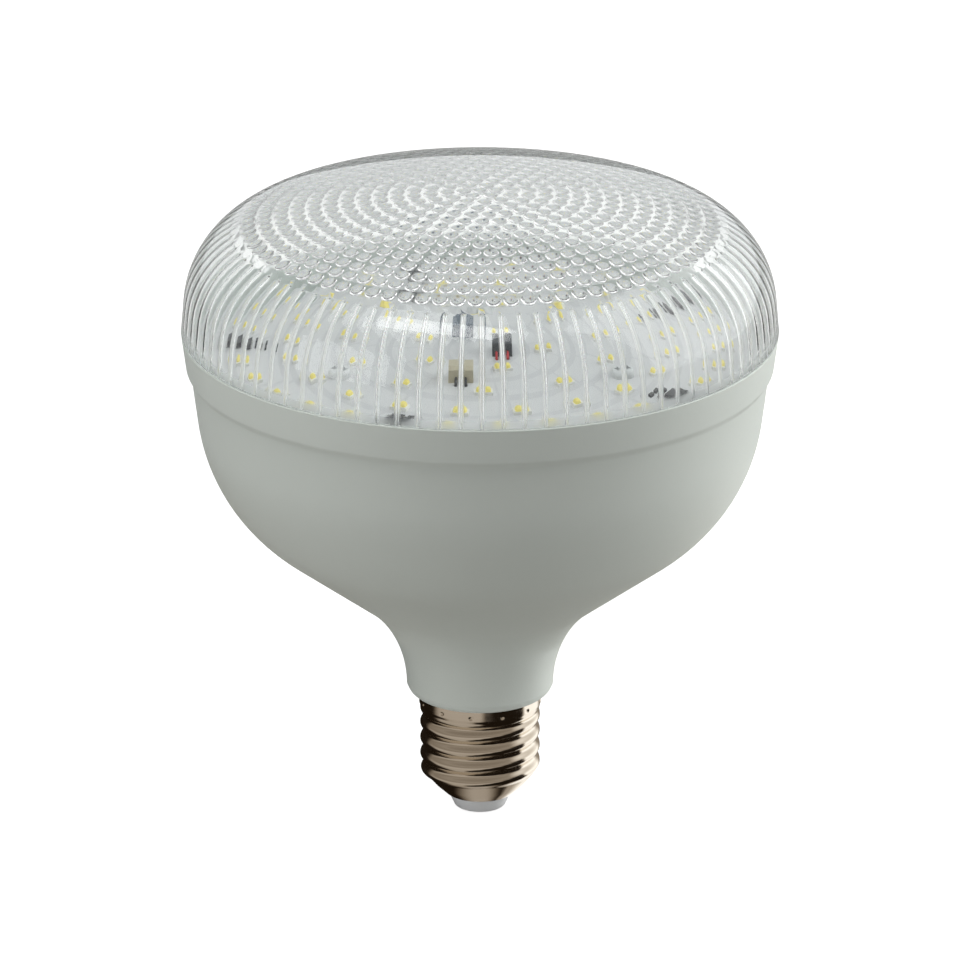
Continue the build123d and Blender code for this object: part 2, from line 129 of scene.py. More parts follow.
def make_piece(name, points, face_sets, material, slot, stands_for, smooth_under=35.0):
    """Mesh object at the origin from points in millimetres and arrays of face corners."""
    corners = np.concatenate([f.ravel() for f in face_sets]).astype(np.int32)
    sizes = np.concatenate([np.full(len(f), f.shape[1]) for f in face_sets])
    mesh = bpy.data.meshes.new(name)
    mesh.vertices.add(len(points))
    mesh.vertices.foreach_set("co", (np.asarray(points) * mm).astype(np.float32).ravel())
    mesh.loops.add(len(corners))
    mesh.loops.foreach_set("vertex_index", corners)
    mesh.polygons.add(len(sizes))
    mesh.polygons.foreach_set("loop_start", (np.cumsum(sizes) - sizes).astype(np.int32))
    mesh.update(calc_edges=True)
    mesh.validate()
    mesh.shade_smooth()
    mesh.set_sharp_from_angle(angle=math.radians(smooth_under))
    mesh.materials.append(material)
    piece = add_to_scene(name, mesh)
    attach(piece, "root")
    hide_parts(*stands_for)
    print(name, len(points), "points,", int((sizes - 2).sum()), "triangles")
    return piece


# %% [markdown]
# Most of the bulb is round, so its pieces are turned from an outline. An outline is a list of
# corners, each with the radius that rounds it. A rounded corner is an arc that touches both sides:
# its centre lies on the line that halves the corner, and its ends lie back from the corner by the
# radius over the tangent of half the angle.

# %% Rounded outlines


def arc(centre, radius, start, end, count):
    """Points (r, z) on an arc between two angles, measured from outwards towards upwards."""
    t = np.linspace(start, end, count)
    return np.asarray(centre) + radius * np.stack([np.cos(t), np.sin(t)], axis=-1)


def rounded_corner(before, corner, after, radius, count):
    """Arc that touches both sides of a corner."""
    a, c, b = (np.asarray(p, float) for p in (before, corner, after))
    to_a = (a - c) / np.linalg.norm(a - c)
    to_b = (b - c) / np.linalg.norm(b - c)
    half = math.acos(np.clip(to_a @ to_b, -1, 1)) / 2
    middle = (to_a + to_b) / np.linalg.norm(to_a + to_b)
    centre = c + middle * radius / math.sin(half)
    ends = [c + side * radius / math.tan(half) - centre for side in (to_a, to_b)]
    start, end = (math.atan2(e[1], e[0]) for e in ends)
    end = start + (end - start + math.pi) % turn - math.pi
    return arc(centre, radius, start, end, count)


def closed_outline(corners, per_corner=9):
    """Closed outline from corners (r, z, radius): an arc at a rounded corner, a point at a sharp one."""
    parts = []
    for i, (r, z, radius) in enumerate(corners):
        before, after = corners[i - 1][:2], corners[(i + 1) % len(corners)][:2]
        if radius > 0:
            parts.append(rounded_corner(before, (r, z), after, radius, per_corner))
        else:
            parts.append(np.array([[r, z]]))
    return np.concatenate(parts)


def turned_ring(outline, columns):
    """Points and faces of a closed outline turned all the way round, its last row joined to its first."""
    points = turned_points(outline, round_angles(columns)).reshape(-1, 3)
    faces = grid_faces(len(outline) + 1, columns) % len(points)
    return points, [faces]


# %% [markdown]
# Materials are built from a few kinds of node, so each kind has a small function here. An input of
# one of these nodes is given either as a plain value or as the output of another node.

# %% Node helpers


def feed(tree, socket, value):
    """Set a socket to a plain number or colour, or link it from another node's output."""
    if isinstance(value, (int, float, tuple)):
        socket.default_value = value
    else:
        tree.links.new(value, socket)


def math_node(tree, operation, *values):
    """Math node; gives its value."""
    node = tree.nodes.new("ShaderNodeMath")
    node.operation = operation
    for socket, value in zip(node.inputs, values):
        feed(tree, socket, value)
    return node.outputs["Value"]


def noise_in(tree, vector, scale, detail):
    """Noise texture on a vector; gives its value."""
    noise = tree.nodes.new("ShaderNodeTexNoise")
    noise.inputs["Detail"].default_value = detail
    tree.links.new(vector, noise.inputs["Vector"])
    feed(tree, noise.inputs["Scale"], scale)
    return noise.outputs["Fac"]


def remap(tree, value, low, high, start=0.0, end=1.0):
    """Map Range of a value, from start and end to low and high."""
    node = tree.nodes.new("ShaderNodeMapRange")
    levels = {"Value": value, "From Min": start, "From Max": end, "To Min": low, "To Max": high}
    for socket, level in levels.items():
        feed(tree, node.inputs[socket], level)
    return node.outputs["Result"]


def mixed(tree, factor, first, second):
    """Colour mix driven by a factor; its colours are the mix node's inputs 6 and 7."""
    node = tree.nodes.new("ShaderNodeMix")
    node.data_type = "RGBA"
    tree.links.new(factor, node.inputs["Factor"])
    feed(tree, node.inputs[6], first)
    feed(tree, node.inputs[7], second)
    return node.outputs[2]


def add_bump(tree, shader, height, strength, distance):
    """Bump on the shader's normal; the distance is in metres."""
    bump = tree.nodes.new("ShaderNodeBump")
    bump.inputs["Strength"].default_value = strength
    bump.inputs["Distance"].default_value = distance
    tree.links.new(height, bump.inputs["Height"])
    tree.links.new(bump.outputs["Normal"], shader.inputs["Normal"])


def choose_shader(tree, factor, first, second):
    """Mix of two shaders by a factor, sent to the material's surface."""
    choice = tree.nodes.new("ShaderNodeMixShader")
    for socket, value in zip(choice.inputs, (factor, first, second)):
        tree.links.new(value, socket)
    tree.links.new(choice.outputs["Shader"], tree.nodes["Material Output"].inputs["Surface"])


# %% [markdown]
# Two effects serve several finishes, so each is a node group that gives a colour, a roughness and a
# height for a Bump node. The first is the fine grain of a moulded surface: a small noise that breaks
# up the gloss and a larger one that drifts the colour. The second is the faint run of lines that a
# rolled or wiped metal has round its axis: noise stretched along one direction.

# %% Shared node groups
FLOAT, COLOUR, VECTOR = "NodeSocketFloat", "NodeSocketColor", "NodeSocketVector"
noise_spread = 0.3, 0.7
shared_inputs = [("Vector", VECTOR), ("Colour", COLOUR), ("Low roughness", FLOAT),
                 ("High roughness", FLOAT)]
shared_outputs = [("Colour", COLOUR), ("Roughness", FLOAT), ("Height", FLOAT)]


def new_group(name, inputs):
    """Group with the shared sockets and its own inputs; gives it with the sockets of its two ends."""
    group = bpy.data.node_groups.new(name, "ShaderNodeTree")
    for socket, kind in shared_inputs + inputs:
        group.interface.new_socket(socket, in_out="INPUT", socket_type=kind)
    for socket, kind in shared_outputs:
        group.interface.new_socket(socket, in_out="OUTPUT", socket_type=kind)
    return group, group.nodes.new("NodeGroupInput").outputs, group.nodes.new("NodeGroupOutput").inputs


def close_group(group, start, end, height, shade, second_colour):
    """Link a group's ends: gloss and height from one noise, a mix of its two colours from another."""
    gloss = remap(group, height, start["Low roughness"], start["High roughness"], *noise_spread)
    group.links.new(mixed(group, shade, start["Colour"], start[second_colour]), end["Colour"])
    group.links.new(gloss, end["Roughness"])
    group.links.new(height, end["Height"])
    print("node group", group.name)


moulded_grain, grain_in, grain_out = new_group(
    "moulded_grain", [("Drift colour", COLOUR), ("Grain scale", FLOAT), ("Drift scale", FLOAT)])
fine = noise_in(moulded_grain, grain_in["Vector"], grain_in["Grain scale"], detail=3.0)
drift = noise_in(moulded_grain, grain_in["Vector"], grain_in["Drift scale"], detail=4.0)
close_group(moulded_grain, grain_in, grain_out, fine, drift, "Drift colour")

rolled_lines, lines_in, lines_out = new_group(
    "rolled_lines", [("Dull colour", COLOUR), ("Line scale", FLOAT)])
squeeze = rolled_lines.nodes.new("ShaderNodeVectorMath")
squeeze.operation = "MULTIPLY"
squeeze.inputs[1].default_value = (0.08, 0.08, 1.0)
rolled_lines.links.new(lines_in["Vector"], squeeze.inputs[0])
lines = noise_in(rolled_lines, squeeze.outputs["Vector"], lines_in["Line scale"], detail=4.0)
dulling = noise_in(rolled_lines, lines_in["Vector"], scale=120.0, detail=4.0)
close_group(rolled_lines, lines_in, lines_out, lines, dulling, "Dull colour")

# %% [markdown]
# A plastic finish is then one call that names its two shades and its range of gloss. The scales of
# the grain and of the drift follow the size of the piece.

# %% Moulded finishes
grain_height = 0.0001
moulded_bump = 0.15


def new_material(name):
    """Node material with its Principled shader and Object coordinates."""
    material = bpy.data.materials.new(name)
    material.use_nodes = True
    tree = material.node_tree
    shader = tree.nodes["Principled BSDF"]
    place = tree.nodes.new("ShaderNodeTexCoord").outputs["Object"]
    return material, tree, shader, place


def grouped_finish(name, group, bump, roughness, values):
    """Material whose colour, gloss and bump come from one group, set by its named values."""
    material, tree, shader, place = new_material(name)
    node = tree.nodes.new("ShaderNodeGroup")
    node.node_tree = group
    shared = {"Vector": place, "Low roughness": roughness[0], "High roughness": roughness[1]}
    for socket, value in (shared | values).items():
        feed(tree, node.inputs[socket], value)
    tree.links.new(node.outputs["Colour"], shader.inputs["Base Color"])
    tree.links.new(node.outputs["Roughness"], shader.inputs["Roughness"])
    add_bump(tree, shader, node.outputs["Height"], bump, grain_height)
    return material, shader


def moulded(name, colour, drift_colour, roughness, grain=1800.0, drift_scale=30.0):
    """Moulded plastic: drifting colour, grainy gloss and a fine bump."""
    return grouped_finish(name, moulded_grain, moulded_bump, roughness, {
        "Colour": (*colour, 1),
        "Drift colour": (*drift_colour, 1),
        "Grain scale": grain,
        "Drift scale": drift_scale,
    })[0]


white_housing = moulded("white_housing", (0.685, 0.722, 0.675), (0.65, 0.692, 0.645), (0.42, 0.55))
grey_insulator = moulded("grey_insulator", (0.80, 0.81, 0.82), (0.74, 0.75, 0.76), (0.4, 0.55))
steel_screw = moulded("steel_screw", (0.70, 0.71, 0.715), (0.64, 0.65, 0.655), (0.3, 0.45), 4000.0)
white_package = moulded("white_package", (0.86, 0.85, 0.82), (0.80, 0.79, 0.75), (0.3, 0.45))
phosphor_shades = (0.96, 0.84, 0.26), (0.92, 0.77, 0.18)
yellow_phosphor = moulded("yellow_phosphor", *phosphor_shades, (0.3, 0.5), 6000.0, 900.0)
black_chip = moulded("black_chip", (0.025, 0.028, 0.032), (0.04, 0.043, 0.047), (0.4, 0.6), 4000.0)
slate_block = moulded("slate_block", (0.045, 0.075, 0.11), (0.06, 0.09, 0.125), (0.35, 0.5), 3000.0)
dark_block = moulded("dark_block", (0.03, 0.036, 0.043), (0.045, 0.05, 0.057), (0.35, 0.5), 3000.0)
beige_block = moulded("beige_block", (0.55, 0.49, 0.36), (0.48, 0.43, 0.31), (0.35, 0.5), 3000.0)
red_wire = moulded("red_wire", (0.50, 0.02, 0.025), (0.42, 0.015, 0.02), (0.3, 0.45), 3000.0)
black_wire = moulded("black_wire", (0.015, 0.015, 0.016), (0.025, 0.025, 0.026), (0.3, 0.45), 3000.0)
print("moulded finishes: 11")

# %% [markdown]
# The cap and the small metal pieces are mirrors that are not quite clean. Their gloss varies with a
# noise that is stretched round the axis, as rolling leaves it, so highlights streak a little.

# %% Metal finishes
rolled_bump = 0.03
line_scale = 1500.0


def rolled_metal(name, colour, dull, roughness):
    """Metal with faint lines round the axis and a drifting tint."""
    material, shader = grouped_finish(name, rolled_lines, rolled_bump, roughness, {
        "Colour": (*colour, 1),
        "Dull colour": (*dull, 1),
        "Line scale": line_scale,
    })
    shader.inputs["Metallic"].default_value = 1.0
    return material


nickel_shell = rolled_metal("nickel_shell", (0.82, 0.76, 0.66), (0.74, 0.67, 0.57), (0.08, 0.17))
bare_aluminium = rolled_metal("bare_aluminium", (0.80, 0.81, 0.82), (0.72, 0.73, 0.74), (0.3, 0.45))
tinned_lead = rolled_metal("tinned_lead", (0.72, 0.72, 0.70), (0.6, 0.6, 0.58), (0.2, 0.35))
print("metal finishes: 3")

# %% [markdown]
# The lens is clear moulded plastic, which bends light as the real one does because the mesh has the
# real thickness. Light that falls through it onto the board would need very many samples, so for
# shadow rays and for diffuse bounces the lens is only a faint tint: the Light Path node chooses
# between the clear plastic and a transparent shader. Its gloss has a slight ripple from the mould,
# and a number kept on each point of its mesh frosts the lip, and the ridges and beads a little.

# %% Clear lens finish
ripple_scale = 60.0
ripple_roughness = 0.03
ripple_bump = 0.03
ripple_height = 0.0003
clear_lens, lens_tree, lens_shader, lens_place = new_material("clear_lens")
lens_shader.inputs["Base Color"].default_value = (0.95, 0.962, 0.956, 1)
lens_shader.inputs["IOR"].default_value = 1.5
lens_shader.inputs["Transmission Weight"].default_value = 1.0
mould_ripple = noise_in(lens_tree, lens_place, ripple_scale, detail=2.0)
frosting_mark = lens_tree.nodes.new("ShaderNodeAttribute")
frosting_mark.attribute_name = "frosting"
ripple_gloss = remap(lens_tree, mould_ripple, 0.0, ripple_roughness)
lens_gloss = math_node(lens_tree, "ADD", ripple_gloss, frosting_mark.outputs["Fac"])
lens_tree.links.new(lens_gloss, lens_shader.inputs["Roughness"])
add_bump(lens_tree, lens_shader, mould_ripple, ripple_bump, ripple_height)

see_through = lens_tree.nodes.new("ShaderNodeBsdfTransparent")
see_through.inputs["Color"].default_value = (0.92, 0.94, 0.935, 1)
lens_ray = lens_tree.nodes.new("ShaderNodeLightPath").outputs
soft_ray = math_node(lens_tree, "MAXIMUM", lens_ray["Is Shadow Ray"], lens_ray["Is Diffuse Ray"])
choose_shader(lens_tree, soft_ray, lens_shader.outputs["BSDF"], see_through.outputs["BSDF"])
print("clear lens finish")

# %% [markdown]
# The housing is one moulding of even wall: a short neck, a cone, a bowl, and a rim that stands out by
# a short slope. Its outline has few corners, but the cone is rounded into the neck and into the bowl
# by large radii, and those soft bends are what the eye reads. Turning a rounded outline keeps them
# exact.

# %% Housing
housing_wall = 2.0
neck_foot_r = 15.95
neck_top_r = 16.2
neck_foot_round = 2.9
neck_height = 14.95
neck_round = 26.0
cone_height = 32.1
bowl_r = 58.75
bowl_round = 40.0
bowl_top_r = 62.25
rim_height = 8.2
rim_foot_r = 63.3
slope_below = 0.9
slope_above = 0.5
slope_round = 2.0
rim_foot_round = 1.6
rim_edge_round = 0.25
bore_edge_round = 0.15
inner_bowl_lift = 1.1
inner_neck_lift = 0.9
rim_wall = 1.5
ledge_drop = 7.9
spigot_r = 11.7
spigot_bore_r = 9.7
spigot_length = 15.0
collar_r = 12.85
collar_height = 2.6

rim_bottom = seam - rim_height
neck_corner = neck_bottom + neck_height
bowl_corner = neck_corner + cone_height
ledge = seam - ledge_drop
rim_inner_r = rim_r - rim_wall
neck_floor = neck_bottom + housing_wall
spigot_bottom = neck_bottom - spigot_length
housing_outline = closed_outline([
    (collar_r, neck_bottom, 0),
    (neck_foot_r, neck_bottom, neck_foot_round),
    (neck_top_r, neck_corner, neck_round),
    (bowl_r, bowl_corner, bowl_round),
    (bowl_top_r, rim_bottom - slope_below, slope_round),
    (rim_foot_r, rim_bottom + slope_above, rim_foot_round),
    (rim_r, seam, rim_edge_round),
    (rim_inner_r, seam, bore_edge_round),
    (rim_inner_r, ledge, 0),
    (bowl_top_r - housing_wall, ledge, 0),
    (bowl_r - housing_wall, bowl_corner + inner_bowl_lift, bowl_round - housing_wall),
    (neck_top_r - housing_wall, neck_corner + inner_neck_lift, neck_round + housing_wall),
    (neck_foot_r - housing_wall, neck_floor, 0),
    (spigot_bore_r, neck_floor, 0),
    (spigot_bore_r, spigot_bottom, 0),
    (spigot_r, spigot_bottom, 0),
    (spigot_r, neck_bottom - collar_height, 0),
    (collar_r, neck_bottom - collar_height, 0),
], per_corner=17)
make_piece("housing_moulding", *turned_ring(housing_outline, 256), white_housing,
           "white_housing", ["housing"])

# %% [markdown]
# The screw shell is one thin sheet, rolled into the coarse round thread of the standard cap. Its
# outside is a surface of two parameters: the angle, and the way up the outline. Below and above the
# thread it follows the plain outline; between, the radius is lowered by a wave that climbs by one
# pitch in each turn, and the wave fades out at both ends. A ring of punch marks in the plain band,
# each a small round dent, holds the shell on the neck.

# %% Screw shell
thread_pitch = 3.629
thread_depth = 0.95
thread_power = 1.25
thread_major_r = 13.1
root_at_front_x = 12.7
thread_bottom = 9.0
thread_top = 24.6
thread_fade_in = thread_bottom - 3.6, thread_bottom - 0.2
thread_fade_out = thread_top - 2.4, thread_top - 0.4
shell_wall = 0.35
shell_turn_r = 2.5
shell_columns = 360
thread_rows = 62
band_rows = 16
band_step = 0.2
shell_mouth_r = 7.1
shell_lip_r = 7.6
shell_lip_round = 0.3
lip_bottom = insulator_bottom + 2.9
punch_count = 12
punch_angle = -98.7
punch_height = 25.6
punch_r = 0.5
punch_depth = 0.3


def smooth_step(value, start, end):
    """0 before start, 1 after end, and a smooth rise between."""
    share = np.clip((value - start) / (end - start), 0, 1)
    return share * share * (3 - 2 * share)


def thread_wave(angle, height):
    """Depth of the rolled groove: a rounded wave round the root line, faded at the thread's ends."""
    turns = (height - root_at_front_x) / thread_pitch - angle / turn
    wave = 0.5 + 0.5 * np.cos(turn * turns)
    fade = smooth_step(height, *thread_fade_in) * (1 - smooth_step(height, *thread_fade_out))
    return thread_depth * wave ** thread_power * fade


def punch_dent(angle, height):
    """Depth of the punch marks: a smooth round dent at each of the equal angles."""
    step = turn / punch_count
    off = (angle - math.radians(punch_angle) + step / 2) % step - step / 2
    distance = np.hypot(off * band_r, height - punch_height)
    return punch_depth * np.clip(1 - (distance / punch_r) ** 2, 0, 1) ** 1.5


shell_turn = rounded_corner((shell_lip_r, lip_bottom), (thread_major_r, thread_bottom),
                            (thread_major_r, thread_top), shell_turn_r, 14)
shell_lip = rounded_corner((shell_mouth_r, lip_bottom), (shell_lip_r, lip_bottom),
                           (thread_major_r, thread_bottom), shell_lip_round, 4)
shell_profile = np.concatenate([
    np.array([[shell_mouth_r, lip_bottom]]),
    shell_lip,
    shell_turn[:1] * 0.5 + shell_lip[-1:] * 0.5,
    shell_turn,
    np.linspace((thread_major_r, shell_turn[-1, 1] + 0.25), (thread_major_r, thread_top - band_step),
                thread_rows),
    np.linspace((band_r, thread_top + band_step), (band_r, neck_bottom), band_rows),
])
shell_angles = round_angles(shell_columns)
shell_outside = turned_points(shell_profile, shell_angles)
shell_z = shell_profile[:, 1:]
dent = thread_wave(shell_angles, shell_z) + punch_dent(shell_angles, shell_z)
shrink = 1 - dent / shell_profile[:, :1]
shell_outside[..., :2] *= shrink[..., None]
liner_r = thread_major_r - thread_depth - shell_wall
inside_profile = np.array([
    [band_r - shell_wall, neck_bottom],
    [band_r - shell_wall, thread_top],
    [liner_r, thread_top - 0.1],
    [liner_r, thread_bottom + 0.6],
    [liner_r - 0.5, thread_bottom - 0.4],
    [shell_lip_r - 0.1, lip_bottom + shell_wall + 0.1],
    [shell_mouth_r, lip_bottom + shell_wall],
])
shell_rows = np.concatenate([shell_outside, turned_points(inside_profile, shell_angles)])
shell_points = shell_rows.reshape(-1, 3)
shell_faces = grid_faces(len(shell_rows) + 1, shell_columns) % len(shell_points)
make_piece("rolled_screw_shell", shell_points, [shell_faces], nickel_shell,
           "nickel_shell", ["screw_shell"], smooth_under=60.0)

# %% [markdown]
# The insulator closes the shell's mouth: a short moulded cone with a well rounded foot, held by a
# flange inside the shell, with a hole for the contact's shank. It is turned from its outline too.

# %% Insulator
shank_hole_r = 1.6
cone_foot_z = 0.4
cone_foot_r = 5.5
cone_foot_round = 0.9
cone_top_r = shell_mouth_r - 0.1
flange_r = shell_mouth_r + 0.2
flange_low = lip_bottom + shell_wall + 0.05
flange_high = flange_low + 1.6
insulator_outline = closed_outline([
    (shank_hole_r, cone_foot_z, 0),
    (cone_foot_r, cone_foot_z, cone_foot_round),
    (cone_top_r, lip_bottom, 0),
    (cone_top_r, flange_low, 0),
    (flange_r, flange_low, 0),
    (flange_r, flange_high, 0),
    (shank_hole_r, flange_high, 0),
])
make_piece("insulator_cone", *turned_ring(insulator_outline, 96), grey_insulator,
           "grey_insulator", ["cap_insulator"])

# %% [markdown]
# The lens outline has a wall that leans in a little, a round shoulder and a shallow dome. The wall's
# lean, the shoulder's radius and the dome's height fix it: the shoulder's circle touches the leaning
# wall and lies inside the dome's circle, so its centre is as far from the dome's centre as the
# dome's radius less its own.

# %% Lens outline
lens_lean = 1.8
lens_corner_height = 20.5
shoulder_r = 20.6
lens_wall = 2.2
lens_foot = 0.6
lip_height = 0.35
lip_frosting = 0.5
bore_drop = 3.6
lens_skirt_r = rim_inner_r - 0.1
lens_bore_r = lens_skirt_r - 1.8
lens_skirt_bottom = board_bottom + 0.1

lens_sag = lens_top - seam - lens_corner_height
lens_corner_r = rim_r - lens_lean
dome_r = (lens_corner_r ** 2 + lens_sag ** 2) / (2 * lens_sag)
dome_centre = np.array([0, lens_top - dome_r])
wall_along = np.array([-lens_lean, lens_corner_height]) / math.hypot(lens_lean, lens_corner_height)
wall_inward = np.array([-wall_along[1], wall_along[0]])
shoulder_base = np.array([rim_r, seam]) + wall_inward * shoulder_r
gap = shoulder_base - dome_centre
run = gap @ wall_along
climb = -run + math.sqrt(run ** 2 - gap @ gap + (dome_r - shoulder_r) ** 2)
shoulder = shoulder_base + wall_along * climb
wall_angle = math.atan2(-wall_inward[1], -wall_inward[0])
to_dome = shoulder - dome_centre
dome_angle = math.atan2(to_dome[1], to_dome[0])
print("dome radius", round(dome_r, 1), "shoulder centre", shoulder.round(2))


def lens_depth_point(radius, depth):
    """Height and outward normal of the lens outline at a radius, moved inwards by a depth."""
    start_r = shoulder[0] + (shoulder_r - depth) * math.cos(dome_angle)
    on_dome = radius <= start_r
    ring = np.where(on_dome, dome_r, shoulder_r) - depth
    centre_r = np.where(on_dome, 0, shoulder[0])
    centre_z = np.where(on_dome, dome_centre[1], shoulder[1])
    rise = np.sqrt(ring ** 2 - (radius - centre_r) ** 2)
    return centre_z + rise, (radius - centre_r) / ring, rise / ring


# %% [markdown]
# Inside, the wall carries eighty-eight thin upright ridges, with a slightly hollow floor between each
# two, so each strip shows a narrowed picture of the board and the ridges catch the light as white
# lines. The inner wall is the outline moved inwards by a depth, and the depth is a function of both
# parameters: round the bulb it follows the ridge's round top and the hollow floor, and up the
# outline it fades to the plain dome.

# %% Lens wall with its flutes
flute_count = 88
flute_phase = math.radians(0.4)
ridge_share = 0.08
ridge_height = 0.34
ridge_frosting = 0.42
floor_hollow = 0.07
flute_end_r = 52.4
flute_fade = 0.9
# one flute: shares of its pitch, close together over the ridge and wide over the floor
flute_shares = np.concatenate([np.linspace(-ridge_share, ridge_share, 5), np.linspace(0.2, 0.8, 5)])
flute_places = (np.arange(flute_count)[:, None] + flute_shares).ravel()
flute_angles = flute_phase + flute_places * turn / flute_count
flute_shape = np.where(
    np.abs(flute_shares) <= ridge_share,
    ridge_height * np.sqrt(np.clip(1 - (flute_shares / ridge_share) ** 2, 0, 1)) + floor_hollow,
    floor_hollow * ((flute_shares - 0.5) / (0.5 - ridge_share)) ** 2,
)
flute_depths = np.tile(flute_shape, flute_count)

outer_columns = 320
edge_round = 0.2
skirt_chamfer = 0.2
seat_step = 0.05
frosting_step = 0.06
lip_top = (rim_r, seam) + wall_along * lip_height
outer_angles = (np.arange(outer_columns) + 0.5) * turn / outer_columns - math.pi / flute_count
outer_profile = np.concatenate([
    np.array([
        [lens_bore_r + skirt_chamfer, lens_skirt_bottom],
        [lens_skirt_r, lens_skirt_bottom],
        [lens_skirt_r, seam - seat_step],
        [lens_skirt_r + seat_step, seam],
        [rim_r - edge_round, seam],
    ]),
    arc((rim_r - edge_round, seam + edge_round), edge_round, -math.pi / 2, 0, 5),
    np.stack([lip_top, lip_top + wall_along * frosting_step]),
    arc(shoulder, shoulder_r, wall_angle, dome_angle, 18),
    arc(dome_centre, dome_r, dome_angle, math.pi / 2, 20)[1:-1],
])
outer_points = turned_points(outer_profile, outer_angles)
on_lip = outer_profile[:, 1] <= seam + lip_height
outer_frosting = np.repeat(lip_frosting * on_lip, outer_columns)

# the inner wall's rows: points of the outline, their outward normals, and the share of the flute left
flute_end_angle = math.acos((flute_end_r - shoulder[0]) / (shoulder_r - lens_wall))
wall_end = shoulder - shoulder_r * wall_inward
straight = np.linspace((rim_r, seam) + wall_along * lens_foot, wall_end, 4)[:-1]
fade_angle = flute_end_angle - flute_fade / shoulder_r
bend = np.concatenate([
    np.linspace(wall_angle, fade_angle, 20),
    np.linspace(fade_angle, flute_end_angle, 5)[1:],
])
bend_normal = np.stack([np.cos(bend), np.sin(bend)], axis=-1)
inner_base = np.concatenate([straight, shoulder + shoulder_r * bend_normal])
inner_normal = np.concatenate([np.tile(-wall_inward, (len(straight), 1)), bend_normal])
bend_left = (flute_end_angle - bend) * shoulder_r
way_left = np.concatenate([np.full(len(straight), lens_corner_height), bend_left])
flute_left = smooth_step(way_left, 0.0, flute_fade)[:, None]
inner_depth = lens_wall + flute_depths * flute_left
inner_r = inner_base[:, :1] - inner_normal[:, :1] * inner_depth
inner_z = inner_base[:, 1:] - inner_normal[:, 1:] * inner_depth
inner_wall = np.stack([inner_r * np.cos(flute_angles), inner_r * np.sin(flute_angles), inner_z],
                      axis=-1)
bore_profile = np.array([
    [lens_bore_r, lens_skirt_bottom + skirt_chamfer],
    [lens_bore_r, seam - bore_drop],
])
inner_points = np.concatenate([turned_points(bore_profile, flute_angles), inner_wall])
on_ridge = np.tile(np.abs(flute_shares) <= ridge_share, flute_count)
wall_frosting = np.concatenate([np.full((len(bore_profile) + 1, len(flute_angles)), lip_frosting),
                                ridge_frosting * on_ridge * flute_left[1:]])
print("lens wall", outer_points.shape, inner_points.shape)

# %% [markdown]
# The dome's inside is covered with round beads in rings: ring k holds six beads more than the ring
# within it, all nearly the same distance apart. One bead is a small template, a ball's cap of a few
# rings inside a square cell, and every cell is that template bent to its own place on the dome. The
# rings have different numbers of cells, so a narrow zip joins each to the next.

# %% Bead template
bead_rings = 14
bead_pitch = 3.52
bead_phase = math.radians(7.5)
bead_r = 1.66
bead_height = 0.84
bead_frosting = 0.14
bead_sides = 12
cell_margin = 0.035
cap_shares = np.array([0.36, 0.68, 0.9, 1.0])

bead_ball_r = (bead_r ** 2 + bead_height ** 2) / (2 * bead_height)
cap_heights = np.sqrt(bead_ball_r ** 2 - (cap_shares * bead_r) ** 2) - bead_ball_r + bead_height
bead_rise = np.concatenate([[bead_height], np.repeat(cap_heights, bead_sides), np.zeros(bead_sides)])
half_cell = bead_pitch / 2 - cell_margin
side_angles = math.pi / 4 + round_angles(bead_sides)
unit_ring = np.stack([np.cos(side_angles), np.sin(side_angles)], axis=-1)
square = unit_ring / np.abs(unit_ring).max(axis=1, keepdims=True)
cap_ring = unit_ring * bead_r
cap_points = (cap_shares[:, None, None] * cap_ring).reshape(-1, 2)
ring_rows = len(cap_shares) + 1
border_start = 1 + len(cap_shares) * bead_sides
template_faces = grid_faces(ring_rows, bead_sides, 1)
template_fan = fan_faces(1 + np.arange(bead_sides), 0)
template_size = 1 + ring_rows * bead_sides
# the border's points on its outer and on its inner side, each in order of rising angle
top_side = border_start + np.array([3, 2, 1])
low_side = border_start + np.array([6, 7, 8])
template_frosting = np.full(template_size, bead_frosting)
template_frosting[-bead_sides:] = 0
print("bead of", len(template_faces) + len(template_fan), "faces")

# %% [markdown]
# A cell's border is a square in its own measures, as wide as the ring has room for and as long as
# the beads' pitch. The bead at the pole is the one round cell.

# %% Bead cells on the dome


def dome_points(across, out, rise):
    """Points on the dome's inside: an angle, a radius and a height of the bead off the surface."""
    height, normal_r, normal_z = lens_depth_point(out, lens_wall)
    r = out - normal_r * rise
    return np.stack([r * np.cos(across), r * np.sin(across), height - normal_z * rise], axis=-1)


def bead_ring(ring):
    """All the cells of one ring of beads, as points (bead, template point, xyz).

    A template point lies across and out from its bead's centre. Across becomes an angle, its length
    over the ring's radius; out is added to the ring's radius.
    """
    count = 6 * ring
    centre_r = ring * bead_pitch
    half_across = math.pi / count * centre_r
    border = square * np.array([half_across, half_cell])
    flat = np.concatenate([np.zeros((1, 2)), cap_points, border])
    across = bead_phase + round_angles(count)[:, None] - flat[:, 0] / centre_r
    out = np.broadcast_to(centre_r + flat[:, 1], across.shape)
    return dome_points(across, out, bead_rise)


pole_flat = np.concatenate([np.zeros((1, 2)), cap_points, unit_ring * half_cell])
pole_cell = dome_points(np.arctan2(pole_flat[:, 1], pole_flat[:, 0]), np.hypot(*pole_flat.T), bead_rise)
bead_cells = [bead_ring(ring) for ring in range(1, bead_rings + 1)]
bead_count = 1 + sum(len(cells) for cells in bead_cells)
print("beads:", bead_count)

# %% [markdown]
# The lens is closed by joining these parts in one list of points: the outside with its pole, the
# skirt, the fluted wall, and each ring of beads. Where two parts meet with different numbers of
# points a zip is used.

